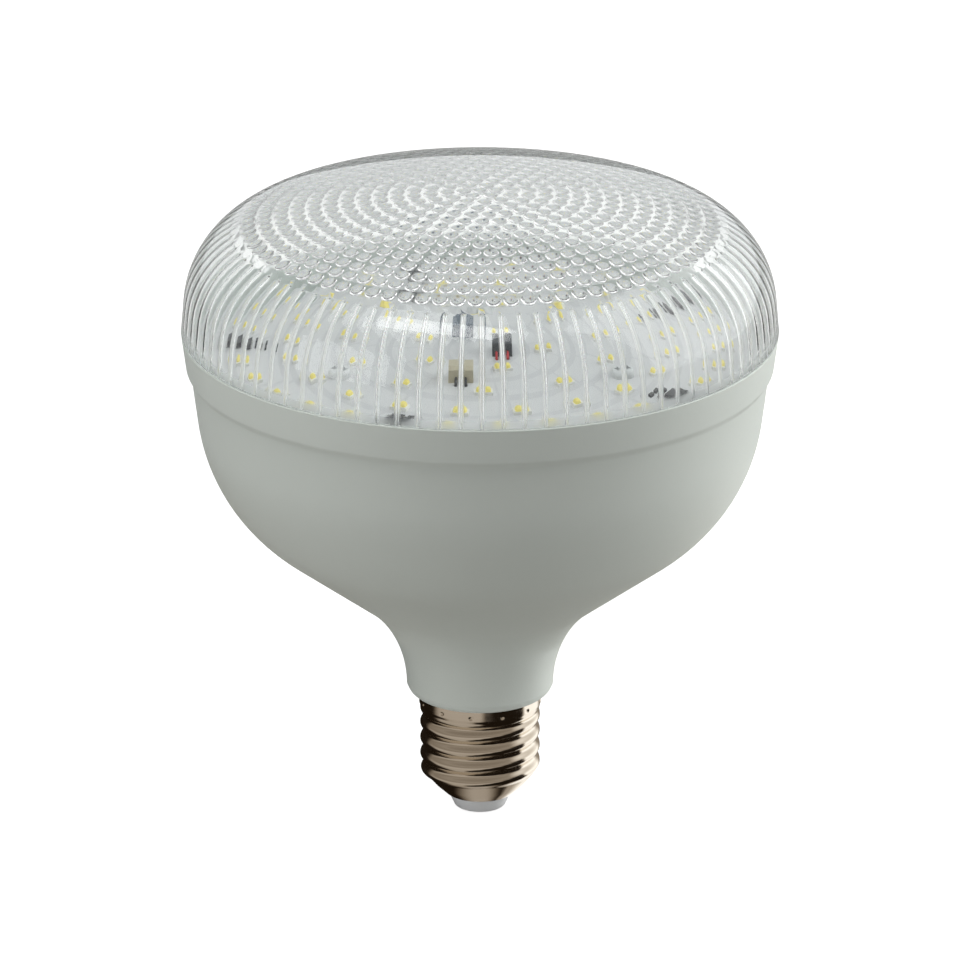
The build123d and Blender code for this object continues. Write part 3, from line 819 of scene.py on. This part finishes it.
# %% Join the lens
columns = len(flute_angles)
pole_index = len(outer_profile) * outer_columns
inner_first = pole_index + 1
wall_end_first = inner_first + (len(inner_points) - 1) * columns
cell_first = wall_end_first + columns
lens_points = [
    outer_points.reshape(-1, 3),
    np.array([[0, 0, lens_top]]),
    inner_points.reshape(-1, 3),
    pole_cell,
]
lens_quads = [
    grid_faces(len(outer_profile), outer_columns),
    grid_faces(len(inner_points), columns, inner_first),
    template_faces + cell_first,
]
lens_triangles = [
    fan_faces(pole_index - outer_columns + np.arange(outer_columns), pole_index),
    zip_faces(inner_first + np.arange(columns), flute_angles, np.arange(outer_columns), outer_angles),
    template_fan + cell_first,
]


def by_angle(index, angle):
    """Indices and angles of a closed ring, in order of rising angle from zero."""
    angle = (angle.ravel() + turn) % turn
    order = np.argsort(angle)
    return index.ravel()[order], angle[order]


inside_ring = by_angle(cell_first + border_start + np.arange(bead_sides), side_angles)
cell_first += template_size
for cells in bead_cells:
    starts = cell_first + np.arange(len(cells))[:, None] * template_size
    angles = np.arctan2(cells[..., 1], cells[..., 0])
    lens_points.append(cells.reshape(-1, 3))
    lens_quads.append((template_faces + starts[..., None]).reshape(-1, 4))
    lens_triangles.append((template_fan + starts[..., None]).reshape(-1, 3))
    lens_triangles.append(zip_faces(*inside_ring, *by_angle(starts + low_side, angles[:, low_side])))
    inside_ring = by_angle(starts + top_side, angles[:, top_side])
    cell_first += len(cells) * template_size
wall_ring = by_angle(wall_end_first + np.arange(columns), flute_angles)
lens_triangles.append(zip_faces(*inside_ring, *wall_ring))
lens_faces = [np.concatenate(lens_quads), np.concatenate(lens_triangles)]
lens = make_piece("clear_lens_cover", np.concatenate(lens_points), lens_faces, clear_lens,
                  "clear_lens", ["lens_cover"])

# %% [markdown]
# Every point then gets its frosting, in the order in which the points were listed. The cells of one
# ring share their sides, so equal points are merged, and at the end the normals are turned outwards
# all over.

# %% Close the lens
merge_distance = 1e-7
frosting = np.concatenate([outer_frosting, np.zeros(1), wall_frosting.ravel(),
                           np.tile(template_frosting, bead_count)])
frosting_layer = lens.data.attributes.new("frosting", "FLOAT", "POINT")
frosting_layer.data.foreach_set("value", frosting.astype(np.float32))
shell = bmesh.new()
shell.from_mesh(lens.data)
bmesh.ops.remove_doubles(shell, verts=shell.verts, dist=merge_distance)
bmesh.ops.recalc_face_normals(shell, faces=shell.faces)
open_edges = sum(not edge.is_manifold for edge in shell.edges)
lens_volume = shell.calc_volume(signed=True)
shell.to_mesh(lens.data)
shell.free()
lens.data.set_sharp_from_angle(angle=math.radians(35))
print("lens: open edges", open_edges, "volume", round(lens_volume * 1e6, 2), "cubic centimetres")

# %% [markdown]
# Each LED carries a crowned cushion of phosphor in clear resin, which bulges out of its white package.
# One cushion is a small template: rings of a rounded rectangle that shrink towards the top, with
# their heights on an ellipse. It is carried to every LED: out by the ring's radius, then round.

# %% Phosphor cushions
cushion_half_out = 1.2
cushion_half_along = 1.15
cushion_height = 0.95
cushion_sides = 16
package_height = 0.7
# rings of the board: radius, places, angle of the first, and every how many a place is left to a chip
led_rings = [(51.8, 30, 34.5, 6), (40.8, 20, -6.0, 0), (28.6, 10, 20.0, 0), (13.8, 5, 2.0, 0)]


def led_turns(places, first, chip_every):
    """Angles of the LEDs of one ring, in radians, without the places that the chips take."""
    index = np.arange(places)
    if chip_every:
        index = index[index % chip_every != 0]
    return np.radians(first + 360 * index / places)


def squircle(sides, power=0.5):
    """Rounded square of half width 1: cosine and sine raised to a power, with their signs kept."""
    t = round_angles(sides)
    circle = np.stack([np.cos(t), np.sin(t)], axis=-1)
    return np.sign(circle) * np.abs(circle) ** power


def ringed_block(ring, shares, rises):
    """Block of rings that shrink by shares as they rise, closed by a fan at its top and at its foot.

    Gives the points as (x, y), their heights, the quads between the rings and the two fans.
    """
    sides = len(ring)
    flat = np.concatenate([(shares[:, None, None] * ring).reshape(-1, 2), np.zeros((2, 2))])
    rise = np.concatenate([np.repeat(rises, sides), [rises[-1], rises[0]]])
    low_ring = np.arange(sides)
    top_ring = (len(shares) - 1) * sides + low_ring
    top_fan = fan_faces(top_ring, len(flat) - 2)
    low_fan = fan_faces(low_ring[::-1], len(flat) - 1)
    return flat, rise, grid_faces(len(shares), sides), np.concatenate([top_fan, low_fan])


cushion_shares = np.array([1.0, 0.93, 0.76, 0.45, 0.2])
cushion_rise = cushion_height * np.sqrt(1 - cushion_shares ** 2)
cushion_ring = squircle(cushion_sides) * np.array([cushion_half_out, cushion_half_along])
cushion_flat, cushion_z, cushion_quads, cushion_fans = ringed_block(
    cushion_ring, cushion_shares, cushion_rise)
led_place = np.concatenate([
    np.stack(np.broadcast_arrays(ring_r, led_turns(*places)), axis=-1)
    for ring_r, *places in led_rings
])
led_out = led_place[:, :1] + cushion_flat[:, 0]
led_cos, led_sin = np.cos(led_place[:, 1:]), np.sin(led_place[:, 1:])
led_z = np.broadcast_to(board_top + package_height + cushion_z, led_out.shape)
led_points = np.stack([led_out * led_cos - cushion_flat[:, 1] * led_sin,
                       led_out * led_sin + cushion_flat[:, 1] * led_cos, led_z], axis=-1)
led_starts = np.arange(len(led_place))[:, None, None] * len(cushion_flat)
led_faces = [(cushion_quads + led_starts).reshape(-1, 4), (cushion_fans + led_starts).reshape(-1, 3)]
make_piece("phosphor_cushions", led_points.reshape(-1, 3), led_faces, yellow_phosphor,
           "yellow_phosphor", ["led_phosphors"], smooth_under=60.0)
print("LEDs:", len(led_place))

# %% [markdown]
# The rectifier near the middle of the board is a moulded block with rounded upright edges and a small
# bevel round its top. It stands where its CAD node stands, with a shorter face towards the front.

# %% Rectifier block
block_low, block_high = (np.array(corner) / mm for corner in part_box("bridge_rectifier"))
block_half_length = 2.7
block_half = np.array([block_half_length, (block_high[1] - block_low[1]) / 2])
block_bevel = 0.3
block_shares = np.array([1.0, 1.0, 0.92])
block_rises = np.array([block_low[2], block_high[2] - block_bevel, block_high[2]])
block_ring = squircle(24, 0.2) * block_half
block_flat, block_z, *block_faces = ringed_block(block_ring, block_shares, block_rises)
block_middle = (block_low + block_high)[:2] / 2
block_points = np.column_stack([block_flat + block_middle, block_z])
make_piece("rectifier_block", block_points, block_faces, slate_block,
           "slate_block", ["bridge_rectifier"], smooth_under=40.0)

# %% [markdown]
# The board is white solder mask over copper, so the copper shows as faintly lighter bands that run
# round the board, broken where one string of LEDs ends. A band is where a sine of the radius, or of
# the angle, is above a level near its lowest.

# %% Board finish
track_pitch = 0.0115
track_level = -0.72
string_breaks = 10.0
break_level = -0.985
bare_mask = 0.62, 0.62, 0.635, 1
copper_mask = 0.69, 0.69, 0.70, 1
white_board, board_tree, board_shader, board_place = new_material("white_board")
split = board_tree.nodes.new("ShaderNodeSeparateXYZ")
board_tree.links.new(board_place, split.inputs["Vector"])
across_x, across_y = split.outputs["X"], split.outputs["Y"]
x_squared = math_node(board_tree, "MULTIPLY", across_x, across_x)
y_squared = math_node(board_tree, "MULTIPLY", across_y, across_y)
board_radius = math_node(board_tree, "SQRT", math_node(board_tree, "ADD", x_squared, y_squared))
board_angle = math_node(board_tree, "ARCTAN2", across_y, across_x)


def sine_band(value, factor, level):
    """1 where the sine of a value times a factor is above a level, else 0."""
    wave = math_node(board_tree, "SINE", math_node(board_tree, "MULTIPLY", value, factor))
    return math_node(board_tree, "GREATER_THAN", wave, level)


copper = math_node(board_tree, "MULTIPLY", sine_band(board_radius, turn / track_pitch, track_level),
                   sine_band(board_angle, string_breaks, break_level))
mask_grain = noise_in(board_tree, board_place, scale=900.0, detail=3.0)
board_tree.links.new(mixed(board_tree, copper, bare_mask, copper_mask), board_shader.inputs["Base Color"])
board_tree.links.new(remap(board_tree, mask_grain, 0.3, 0.5), board_shader.inputs["Roughness"])
add_bump(board_tree, board_shader, copper, 0.4, 0.00004)
print("board finish, tracks", track_pitch / mm, "mm apart")

# %% [markdown]
# The small CAD pieces inside the bulb keep their solids and get their finishes.

# %% Finish the CAD pieces
finishes = {
    "heat_tray": bare_aluminium,
    "led_board": white_board,
    "led_packages": white_package,
    "driver_ics": black_chip,
    "ic_leads": tinned_lead,
    "sense_resistors": black_chip,
    "fuse_block": dark_block,
    "wire_terminal": beige_block,
    "live_wire": red_wire,
    "neutral_wire": black_wire,
    "board_screws": steel_screw,
    "centre_contact": nickel_shell,
}
for node, material in finishes.items():
    nodes[node].data.materials.clear()
    nodes[node].data.materials.append(material)
print("finished CAD nodes:", len(finishes))

# %% [markdown]
# The bulb stands on a pale floor. The photograph's ground is nearly white, yet little light comes
# back up to the bowl, so the floor is bright where it is looked at, straight or through the clear
# lens, and a quieter grey for the light that it sends on: the Light Path node tells them apart.

# %% Floor
floor_half = 6000.0
floor_glow = 0.9
seen_through_lens = 0.95
floor_corners = np.array([[-1, -1], [1, -1], [1, 1], [-1, 1]]) * floor_half * mm
floor_mesh = bpy.data.meshes.new("floor")
floor_mesh.from_pydata(np.column_stack([floor_corners, np.zeros(4)]).tolist(), [], [[0, 1, 2, 3]])
floor = add_to_scene("floor", floor_mesh)
pale_floor, floor_tree, floor_shader, _ = new_material("pale_floor")
floor_shader.inputs["Base Color"].default_value = (0.42, 0.42, 0.41, 1)
floor_shader.inputs["Roughness"].default_value = 0.9
floor_shader.inputs["Specular IOR Level"].default_value = 0.0
bright = floor_tree.nodes.new("ShaderNodeEmission")
bright.inputs["Color"].default_value = (1, 1, 1, 1)
bright.inputs["Strength"].default_value = floor_glow
lit = floor_tree.nodes.new("ShaderNodeAddShader")
floor_tree.links.new(floor_shader.outputs["BSDF"], lit.inputs[0])
floor_tree.links.new(bright.outputs["Emission"], lit.inputs[1])
floor_ray = floor_tree.nodes.new("ShaderNodeLightPath").outputs
floor_seen = math_node(floor_tree, "MULTIPLY_ADD", floor_ray["Is Transmission Ray"],
                       seen_through_lens, floor_ray["Is Camera Ray"])
choose_shader(floor_tree, floor_seen, floor_shader.outputs["BSDF"], lit.outputs["Shader"])
floor_mesh.materials.append(pale_floor)
print("floor", 2 * floor_half * mm, "m wide")

# %% [markdown]
# The light is a studio's: a long soft window high in front, whose picture lies across the front of
# the lens, and a broad panel on the right, which veils that side of the lens. The others are not seen
# in reflections: one overhead, one on the right that edges the white bowl, a quiet one in front on
# the left, and a very small one that lifts the cone under the cap.

# %% Lights


def soft_light(name, place, aim, size, power):
    """Rectangular area light, turned from its place towards the point that it lights."""
    data = bpy.data.lights.new(name, "AREA")
    data.shape = "RECTANGLE"
    data.size, data.size_y = size
    data.energy = power
    light = add_to_scene(name, data)
    light.location = place
    light.rotation_euler = (Vector(aim) - Vector(place)).to_track_quat("-Z", "Y").to_euler()
    return light


bulb_middle = (0, 0, 0.09)
window = soft_light("window", (-0.231, -0.429, 1.38), bulb_middle, (0.92, 0.36), 3.7)
window.rotation_euler = (0, 0, math.radians(-30))
overhead = soft_light("overhead", (-0.3, -0.2, 1.15), bulb_middle, (0.7, 0.7), 3.5)
overhead.visible_glossy = False
soft_light("right_panel", (0.80, 0.24, 0.425), (0, 0.24, 0), (1.26, 1.5), 7.6)
right_side = soft_light("right_side", (1.0, 0.25, 0.08), bulb_middle, (1.0, 0.95), 8.3)
right_side.visible_glossy = False
right_side.visible_transmission = False
left_front = soft_light("left_front", (-0.444, -0.311, 0.24), bulb_middle, (0.35, 0.35), 0.98)
left_front.visible_glossy = False
foot_fill = soft_light("foot_fill", (-0.01, -0.045, 0.003), (0, 0, 0.003), (0.05, 0.005), 0.003)
foot_fill.visible_glossy = False
foot_fill.visible_camera = False
print("lights: window, panels and a fill")

# %% [markdown]
# The world is a grey that is brightest behind the bulb and dim in front of it, so the middle of the
# bowl stays darker. It lights dull surfaces less than it shows in polished ones, and it is never dark
# through the clear lens.

# %% World
sky_most = 0.9
sky_through_lens = 0.8
dull_share_cut = 0.6
world = bpy.data.worlds.new("studio")
bpy.context.scene.world = world
world.use_nodes = True
sky_tree = world.node_tree
sky = sky_tree.nodes["Background"]
sky.inputs["Color"].default_value = (0.97, 0.99, 1.0, 1)
sky_direction = sky_tree.nodes.new("ShaderNodeTexCoord")
sky_back = sky_tree.nodes.new("ShaderNodeVectorMath")
sky_back.operation = "DOT_PRODUCT"
sky_back.inputs[1].default_value = (0.5, 0.866, 0)
sky_tree.links.new(sky_direction.outputs["Generated"], sky_back.inputs[0])
sky_strength = remap(sky_tree, sky_back.outputs["Value"], 0.0, sky_most, -1.0)
sky_ray = sky_tree.nodes.new("ShaderNodeLightPath").outputs
through_lens = math_node(sky_tree, "MULTIPLY", sky_ray["Is Transmission Ray"], sky_through_lens)
diffuse_share = math_node(sky_tree, "MULTIPLY_ADD", sky_ray["Is Diffuse Ray"], -dull_share_cut, 1.0)
sky_dim = math_node(sky_tree, "MULTIPLY", sky_strength, diffuse_share)
sky_level = math_node(sky_tree, "MAXIMUM", sky_dim, through_lens)
sky_tree.links.new(sky_level, sky.inputs["Strength"])
print("world", world.name)

# %% [markdown]
# A polished cap shows its surroundings more than itself. In a studio, cards stand round it: pale ones
# give it broad bright bands, dark ones draw the black edges that make it read as metal. One turned
# card round the foot of the bulb does this here: dark at the far left, pale in front and brightest on
# the right, with a black part between, which narrows as it rises, so the upper flanks of the thread
# stay pale and the lower ones go black. Each point of the card keeps its own brightness, and only
# reflections see the card, so it neither lights nor hides anything.

# %% Reflection card
card_r = 75.0
card_floor = 0.6
# rows of the card from under the cap outwards and up: radius, height, share of the pale level, and
# three angles from the front in degrees, right side positive: where the dark left part ends, and
# where the black part runs from and to
card_rows = np.array([
    (3.0, card_floor, 1.0, -30, 30, 44),
    (14.0, card_floor, 1.0, -36, 24, 50),
    (19.0, card_floor, 1.0, -46, -22, 76),
    (26.0, card_floor, 1.0, -54, -20, 84),
    (36.0, card_floor, 1.0, -64, -10, 84),
    (56.0, card_floor, 1.0, -78, 2, 84),
    (card_r, card_floor, 1.1, -84, 6, 84),
    (card_r, 12.0, 1.15, -90, 20, 84),
    (card_r, 24.0, 1.0, -104, 38, 83),
    (card_r, 37.0, 0.75, -112, 56, 81),
    (card_r, 46.0, 0.6, -120, 90, 70),
    (card_r, 72.0, 0.8, -126, 90, 70),
    (19.0, 40.0, 0.5, -126, 90, 70),
])
# the pale level at angles from the front, the darkest level, and how far each edge is blended
pale_angles = (-180, -40, 60, 86, 128, 140, 180)
pale_levels = (0.33, 0.42, 0.40, 1.2, 1.2, 0.3, 0.12)
dark_level = 0.012
start_blend = 6
end_blend = 4
left_blend = 10, 8
under_cap_r = 16
under_cap_blend = 2.8
# a dim part of the card is browner: green and blue fall off faster than red
green_fall = 0.09
blue_fall = 0.2

card_turns = round_angles(256)
from_front = np.degrees(np.arctan2(np.cos(card_turns), -np.sin(card_turns)))
card_outline = card_rows[:, :2]
row_share, left_end, black_start, black_end = (card_rows[:, i:i + 1] for i in range(2, 6))
pale = np.interp(from_front, pale_angles, pale_levels)
blend = np.where(card_rows[:, :1] < under_cap_r, under_cap_blend, 1.0)
black = smooth_step(from_front, black_start - start_blend * blend, black_start + start_blend * blend)
black = black * (1 - smooth_step(from_front, black_end - end_blend, black_end + end_blend))
from_left = smooth_step(from_front, left_end - left_blend[0] * blend, left_end + left_blend[1] * blend)
card_glow = np.maximum(pale * row_share * (1 - black) * from_left, dark_level).ravel()
dimness = card_glow / card_glow.max()
glow_colour = np.stack([card_glow, card_glow * dimness ** green_fall, card_glow * dimness ** blue_fall,
                        np.ones_like(card_glow)], axis=-1)
card_points = turned_points(card_outline, card_turns).reshape(-1, 3)
card_faces = grid_faces(len(card_outline), len(card_turns))
card_mesh = bpy.data.meshes.new("reflection_card")
card_mesh.from_pydata((card_points * mm).tolist(), [], card_faces.tolist())
glow_layer = card_mesh.attributes.new("glow", "FLOAT_COLOR", "POINT")
glow_layer.data.foreach_set("color", glow_colour.ravel().astype(np.float32))
card = add_to_scene("reflection_card", card_mesh)
card.visible_camera = False
card.visible_diffuse = False
card.visible_transmission = False
card.visible_shadow = False
card_finish, card_tree, _, _ = new_material("reflection_card")
glow_mark = card_tree.nodes.new("ShaderNodeAttribute")
glow_mark.attribute_name = "glow"
card_light = card_tree.nodes.new("ShaderNodeEmission")
card_tree.links.new(glow_mark.outputs["Color"], card_light.inputs["Color"])
card_tree.links.new(card_light.outputs["Emission"], card_tree.nodes["Material Output"].inputs["Surface"])
card_mesh.materials.append(card_finish)
print("reflection card of", len(card_points), "points")

# %% [markdown]
# The camera stands where the photograph was taken from: far off with a long lens, looking down at
# the bulb. The picture is square, so the lens follows from the focal length in pixels.

# %% Camera
camera_away = 1.8
camera_elevation = math.radians(19.41)
view_down = math.radians(20.447)
focal_pixels = 8367
picture_pixels = 960
sensor_width = 36.0
camera_data = bpy.data.cameras.new("camera")
camera_data.sensor_width = sensor_width
camera_data.lens = focal_pixels * sensor_width / picture_pixels
camera_data.clip_end = 50
camera = add_to_scene("camera", camera_data)
camera_back = camera_away * math.cos(camera_elevation)
camera_up = camera_away * math.sin(camera_elevation)
camera.location = (0, -camera_back, seam * mm + camera_up)
camera.rotation_euler = (math.pi / 2 - view_down, 0, 0)
bpy.context.scene.camera = camera
bpy.context.scene.view_settings.view_transform = "Standard"
print("camera at", tuple(round(v, 3) for v in camera.location), "lens", round(camera_data.lens, 1))
